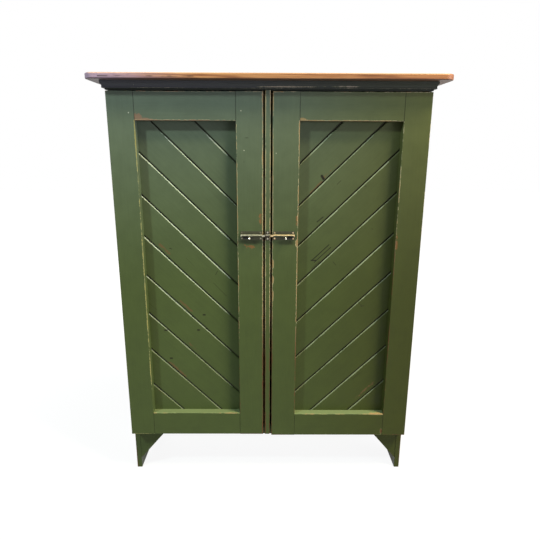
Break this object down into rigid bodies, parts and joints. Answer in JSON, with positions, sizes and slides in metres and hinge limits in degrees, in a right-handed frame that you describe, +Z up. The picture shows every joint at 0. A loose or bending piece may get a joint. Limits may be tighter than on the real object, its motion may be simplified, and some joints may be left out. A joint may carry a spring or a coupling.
{
  "type": "jelly cupboard",
  "caption": "Free-standing painted pine jelly cupboard with two framed doors of diagonal matched boards, barrel bolts, shelves, a natural wood top and cut-out feet.",
  "frame": {"origin": "on the floor, in the middle of the width and depth of the top board", "axes": "+Z up, +X to the right of someone facing the doors, +Y to the back; the doors look along -Y"},
  "size_m": [1.178, 0.445, 1.4965],
  "materials": {
    "painted_wood": "worn green milk paint on pine",
    "dark_painted_wood": "near-black green milk paint on pine",
    "natural_top_wood": "waxed old pine",
    "bare_wood": "unpainted pine",
    "blackened_iron": "dark, aged",
    "aged_brass": "worn satin",
    "screw_steel": "aged"
  },
  "bodies": {
    "case": {"left_side": "painted_wood", "right_side": "painted_wood", "bottom_board": "bare_wood", "shelf_1": "bare_wood", "shelf_2": "bare_wood", "shelf_3": "bare_wood", "back_board_1": "bare_wood", "back_board_2": "bare_wood", "back_board_3": "bare_wood", "back_board_4": "bare_wood", "top_board": "natural_top_wood", "header_rail": "painted_wood", "cornice_front": "dark_painted_wood", "cornice_left": "dark_painted_wood", "cornice_right": "dark_painted_wood", "centre_post": "painted_wood", "base_rail": "painted_wood", "left_foot_bracket": "painted_wood", "right_foot_bracket": "painted_wood", "keeper": "blackened_iron", "case_hinge_leaves": "blackened_iron", "keeper_screws": "screw_steel"},
    "left_door": {"left_door_outer_stile": "painted_wood", "left_door_lock_stile": "painted_wood", "left_door_top_rail": "painted_wood", "left_door_bottom_rail": "painted_wood", "left_door_board_01": "painted_wood", "left_door_board_02": "painted_wood", "left_door_board_03": "painted_wood", "left_door_board_04": "painted_wood", "left_door_board_05": "painted_wood", "left_door_board_06": "painted_wood", "left_door_board_07": "painted_wood", "left_door_board_08": "painted_wood", "left_door_board_09": "painted_wood", "left_door_board_10": "painted_wood", "left_door_hinge_leaves": "blackened_iron", "left_bolt_screws": "screw_steel", "left_bolt_plate": "blackened_iron"},
    "right_door": {"right_door_outer_stile": "painted_wood", "right_door_lock_stile": "painted_wood", "right_door_top_rail": "painted_wood", "right_door_bottom_rail": "painted_wood", "right_door_board_01": "painted_wood", "right_door_board_02": "painted_wood", "right_door_board_03": "painted_wood", "right_door_board_04": "painted_wood", "right_door_board_05": "painted_wood", "right_door_board_06": "painted_wood", "right_door_board_07": "painted_wood", "right_door_board_08": "painted_wood", "right_door_board_09": "painted_wood", "right_door_board_10": "painted_wood", "right_door_hinge_leaves": "blackened_iron", "right_bolt_screws": "screw_steel", "right_bolt_plate": "blackened_iron"},
    "left_bolt": {"left_bolt_rod": "aged_brass", "left_bolt_knob": "aged_brass"},
    "right_bolt": {"right_bolt_rod": "aged_brass", "right_bolt_knob": "aged_brass"}
  },
  "joints": [
    {"name": "left_door_hinge", "type": "hinge", "parent": "case", "child": "left_door", "pos_m": [-0.5393, -0.1395, 0.97], "axis": [0, 0, -1], "range_deg": [0, 175]},
    {"name": "right_door_hinge", "type": "hinge", "parent": "case", "child": "right_door", "pos_m": [0.5393, -0.1395, 0.97], "axis": [0, 0, 1], "range_deg": [0, 175]},
    {"name": "left_bolt_slide", "type": "slide", "parent": "left_door", "child": "left_bolt", "axis": [1, 0, 0], "range_m": [-0.02, 0.0075]},
    {"name": "right_bolt_slide", "type": "slide", "parent": "right_door", "child": "right_bolt", "axis": [-1, 0, 0], "range_m": [-0.02, 0.0075]}
  ]
}
